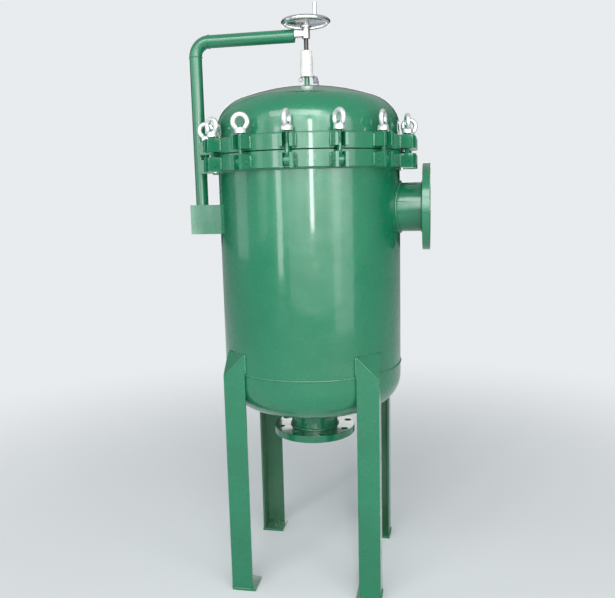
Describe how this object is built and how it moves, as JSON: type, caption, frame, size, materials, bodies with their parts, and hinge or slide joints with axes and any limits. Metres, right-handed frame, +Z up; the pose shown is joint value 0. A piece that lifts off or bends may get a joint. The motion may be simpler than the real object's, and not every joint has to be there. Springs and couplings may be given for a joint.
{
  "type": "bag filter housing",
  "caption": "Upright vessel on four angle legs with a dished lid held by swing bolts, a davit with a handwheel screw, and flanged side and bottom nozzles.",
  "frame": {"origin": "on the floor, on the vessel axis, at the middle of the four anchor holes", "axes": "+Z up, +X towards the side nozzle, -X towards the davit"},
  "size_m": [0.8092, 0.7275, 1.9318],
  "materials": {
    "green_paint": "gloss green enamel over steel",
    "zinc_steel": "bright zinc-plated forgings and bar",
    "chromed_steel": "polished and chromed",
    "bare_steel": "turned steel, lightly greased",
    "white_wrap": "white film wrap",
    "seal_rubber": "black moulded rubber",
    "stainless": "pickled stainless sheet",
    "felt": "needle felt"
  },
  "bodies": {
    "vessel": {"basket_plate": "stainless", "baskets": "stainless", "body_lugs": "green_paint", "body_ring": "green_paint", "bottom_flange": "green_paint", "bottom_head": "green_paint", "bottom_nozzle": "green_paint", "davit_bracket": "green_paint", "filter_bags": "felt", "foot_plates": "green_paint", "hinge_pins": "green_paint", "leg_front_left": "green_paint", "leg_front_right": "green_paint", "leg_rear_left": "green_paint", "leg_rear_right": "green_paint", "ring_seal": "seal_rubber", "shell": "green_paint", "side_flange": "green_paint", "side_nozzle": "green_paint"},
    "lid": {"lid_dome": "green_paint", "lid_ring": "green_paint", "lid_lugs": "green_paint", "lid_stud": "green_paint"},
    "davit": {"davit_post": "green_paint", "davit_elbow": "green_paint", "davit_arm": "green_paint", "davit_eye": "green_paint"},
    "screw": {"lift_screw": "bare_steel", "screw_foot": "bare_steel", "screw_sleeve": "white_wrap"},
    "wheel": {"handwheel": "chromed_steel"},
    "grip": {"wheel_grip": "chromed_steel"},
    "bolt_01": {"swing_bolt_01": "green_paint"},
    "nut_01": {"eye_nut_01": "zinc_steel"},
    "bolt_02": {"swing_bolt_02": "green_paint"},
    "nut_02": {"eye_nut_02": "zinc_steel"},
    "bolt_03": {"swing_bolt_03": "green_paint"},
    "nut_03": {"eye_nut_03": "zinc_steel"},
    "bolt_04": {"swing_bolt_04": "green_paint"},
    "nut_04": {"eye_nut_04": "zinc_steel"},
    "bolt_05": {"swing_bolt_05": "green_paint"},
    "nut_05": {"eye_nut_05": "zinc_steel"},
    "bolt_06": {"swing_bolt_06": "green_paint"},
    "nut_06": {"eye_nut_06": "zinc_steel"},
    "bolt_07": {"swing_bolt_07": "green_paint"},
    "nut_07": {"eye_nut_07": "zinc_steel"},
    "bolt_08": {"swing_bolt_08": "green_paint"},
    "nut_08": {"eye_nut_08": "zinc_steel"},
    "bolt_09": {"swing_bolt_09": "green_paint"},
    "nut_09": {"eye_nut_09": "zinc_steel"},
    "bolt_10": {"swing_bolt_10": "green_paint"},
    "nut_10": {"eye_nut_10": "zinc_steel"},
    "bolt_11": {"swing_bolt_11": "green_paint"},
    "nut_11": {"eye_nut_11": "zinc_steel"},
    "bolt_12": {"swing_bolt_12": "green_paint"},
    "nut_12": {"eye_nut_12": "zinc_steel"},
    "bolt_13": {"swing_bolt_13": "green_paint"},
    "nut_13": {"eye_nut_13": "zinc_steel"},
    "bolt_14": {"swing_bolt_14": "green_paint"},
    "nut_14": {"eye_nut_14": "zinc_steel"}
  },
  "joints": [
    {"name": "davit_swing", "type": "hinge", "parent": "vessel", "child": "davit", "pos_m": [-0.377, 0, 1.3], "axis": [0, 0, 1], "range_deg": [-180, 0]},
    {"name": "lid_lift", "type": "slide", "parent": "vessel", "child": "lid", "axis": [0, 0, 1], "range_m": [0, 0.016]},
    {"name": "handwheel_turn", "type": "hinge", "parent": "davit", "child": "wheel", "pos_m": [0, 0, 1.85], "axis": [0, 0, -1], "range_deg": [0, 1440]},
    {"name": "grip_spin", "type": "hinge", "parent": "wheel", "child": "grip", "pos_m": [0.01851, 0.06906, 1.88], "axis": [0, 0, 1], "continuous": true},
    {"name": "screw_lift", "type": "slide", "parent": "davit", "child": "screw", "axis": [0, 0, 1], "range_m": [0, 0.016]},
    {"name": "bolt_01_swing", "type": "hinge", "parent": "vessel", "child": "bolt_01", "pos_m": [0.32758, 0.07477, 1.401], "axis": [-0.2225, 0.9749, 0], "range_deg": [0, 85]},
    {"name": "nut_01_travel", "type": "slide", "parent": "bolt_01", "child": "nut_01", "axis": [0, 0, 1], "range_m": [0, 0.016]},
    {"name": "bolt_02_swing", "type": "hinge", "parent": "vessel", "child": "bolt_02", "pos_m": [0.2627, 0.20949, 1.401], "axis": [-0.6235, 0.7818, 0], "range_deg": [0, 180]},
    {"name": "nut_02_travel", "type": "slide", "parent": "bolt_02", "child": "nut_02", "axis": [0, 0, 1], "range_m": [0, 0.016]},
    {"name": "bolt_03_swing", "type": "hinge", "parent": "vessel", "child": "bolt_03", "pos_m": [0.14578, 0.30273, 1.401], "axis": [-0.901, 0.4339, 0], "range_deg": [0, 180]},
    {"name": "nut_03_travel", "type": "slide", "parent": "bolt_03", "child": "nut_03", "axis": [0, 0, 1], "range_m": [0, 0.016]},
    {"name": "bolt_04_swing", "type": "hinge", "parent": "vessel", "child": "bolt_04", "pos_m": [0, 0.336, 1.401], "axis": [-1, 0, 0], "range_deg": [0, 180]},
    {"name": "nut_04_travel", "type": "slide", "parent": "bolt_04", "child": "nut_04", "axis": [0, 0, 1], "range_m": [0, 0.016]},
    {"name": "bolt_05_swing", "type": "hinge", "parent": "vessel", "child": "bolt_05", "pos_m": [-0.14578, 0.30273, 1.401], "axis": [-0.901, -0.4339, 0], "range_deg": [0, 180]},
    {"name": "nut_05_travel", "type": "slide", "parent": "bolt_05", "child": "nut_05", "axis": [0, 0, 1], "range_m": [0, 0.016]},
    {"name": "bolt_06_swing", "type": "hinge", "parent": "vessel", "child": "bolt_06", "pos_m": [-0.2627, 0.20949, 1.401], "axis": [-0.6235, -0.7818, 0], "range_deg": [0, 180]},
    {"name": "nut_06_travel", "type": "slide", "parent": "bolt_06", "child": "nut_06", "axis": [0, 0, 1], "range_m": [0, 0.016]},
    {"name": "bolt_07_swing", "type": "hinge", "parent": "vessel", "child": "bolt_07", "pos_m": [-0.32758, 0.07477, 1.401], "axis": [-0.2225, -0.9749, 0], "range_deg": [0, 180]},
    {"name": "nut_07_travel", "type": "slide", "parent": "bolt_07", "child": "nut_07", "axis": [0, 0, 1], "range_m": [0, 0.016]},
    {"name": "bolt_08_swing", "type": "hinge", "parent": "vessel", "child": "bolt_08", "pos_m": [-0.32758, -0.07477, 1.401], "axis": [0.2225, -0.9749, 0], "range_deg": [0, 180]},
    {"name": "nut_08_travel", "type": "slide", "parent": "bolt_08", "child": "nut_08", "axis": [0, 0, 1], "range_m": [0, 0.016]},
    {"name": "bolt_09_swing", "type": "hinge", "parent": "vessel", "child": "bolt_09", "pos_m": [-0.2627, -0.20949, 1.401], "axis": [0.6235, -0.7818, 0], "range_deg": [0, 180]},
    {"name": "nut_09_travel", "type": "slide", "parent": "bolt_09", "child": "nut_09", "axis": [0, 0, 1], "range_m": [0, 0.016]},
    {"name": "bolt_10_swing", "type": "hinge", "parent": "vessel", "child": "bolt_10", "pos_m": [-0.14578, -0.30273, 1.401], "axis": [0.901, -0.4339, 0], "range_deg": [0, 180]},
    {"name": "nut_10_travel", "type": "slide", "parent": "bolt_10", "child": "nut_10", "axis": [0, 0, 1], "range_m": [0, 0.016]},
    {"name": "bolt_11_swing", "type": "hinge", "parent": "vessel", "child": "bolt_11", "pos_m": [0, -0.336, 1.401], "axis": [1, 0, 0], "range_deg": [0, 180]},
    {"name": "nut_11_travel", "type": "slide", "parent": "bolt_11", "child": "nut_11", "axis": [0, 0, 1], "range_m": [0, 0.016]},
    {"name": "bolt_12_swing", "type": "hinge", "parent": "vessel", "child": "bolt_12", "pos_m": [0.14578, -0.30273, 1.401], "axis": [0.901, 0.4339, 0], "range_deg": [0, 180]},
    {"name": "nut_12_travel", "type": "slide", "parent": "bolt_12", "child": "nut_12", "axis": [0, 0, 1], "range_m": [0, 0.016]},
    {"name": "bolt_13_swing", "type": "hinge", "parent": "vessel", "child": "bolt_13", "pos_m": [0.2627, -0.20949, 1.401], "axis": [0.6235, 0.7818, 0], "range_deg": [0, 180]},
    {"name": "nut_13_travel", "type": "slide", "parent": "bolt_13", "child": "nut_13", "axis": [0, 0, 1], "range_m": [0, 0.016]},
    {"name": "bolt_14_swing", "type": "hinge", "parent": "vessel", "child": "bolt_14", "pos_m": [0.32758, -0.07477, 1.401], "axis": [0.2225, 0.9749, 0], "range_deg": [0, 85]},
    {"name": "nut_14_travel", "type": "slide", "parent": "bolt_14", "child": "nut_14", "axis": [0, 0, 1], "range_m": [0, 0.016]}
  ],
  "couplings": [
    {"joint": "handwheel_turn", "follows": "lid_lift", "rad_per_m": 1570.8},
    {"joint": "screw_lift", "follows": "lid_lift", "ratio": 1},
    {"joint": "nut_01_travel", "follows": "lid_lift", "ratio": 1},
    {"joint": "nut_02_travel", "follows": "lid_lift", "ratio": 1},
    {"joint": "nut_03_travel", "follows": "lid_lift", "ratio": 1},
    {"joint": "nut_04_travel", "follows": "lid_lift", "ratio": 1},
    {"joint": "nut_05_travel", "follows": "lid_lift", "ratio": 1},
    {"joint": "nut_06_travel", "follows": "lid_lift", "ratio": 1},
    {"joint": "nut_07_travel", "follows": "lid_lift", "ratio": 1},
    {"joint": "nut_08_travel", "follows": "lid_lift", "ratio": 1},
    {"joint": "nut_09_travel", "follows": "lid_lift", "ratio": 1},
    {"joint": "nut_10_travel", "follows": "lid_lift", "ratio": 1},
    {"joint": "nut_11_travel", "follows": "lid_lift", "ratio": 1},
    {"joint": "nut_12_travel", "follows": "lid_lift", "ratio": 1},
    {"joint": "nut_13_travel", "follows": "lid_lift", "ratio": 1},
    {"joint": "nut_14_travel", "follows": "lid_lift", "ratio": 1}
  ]
}
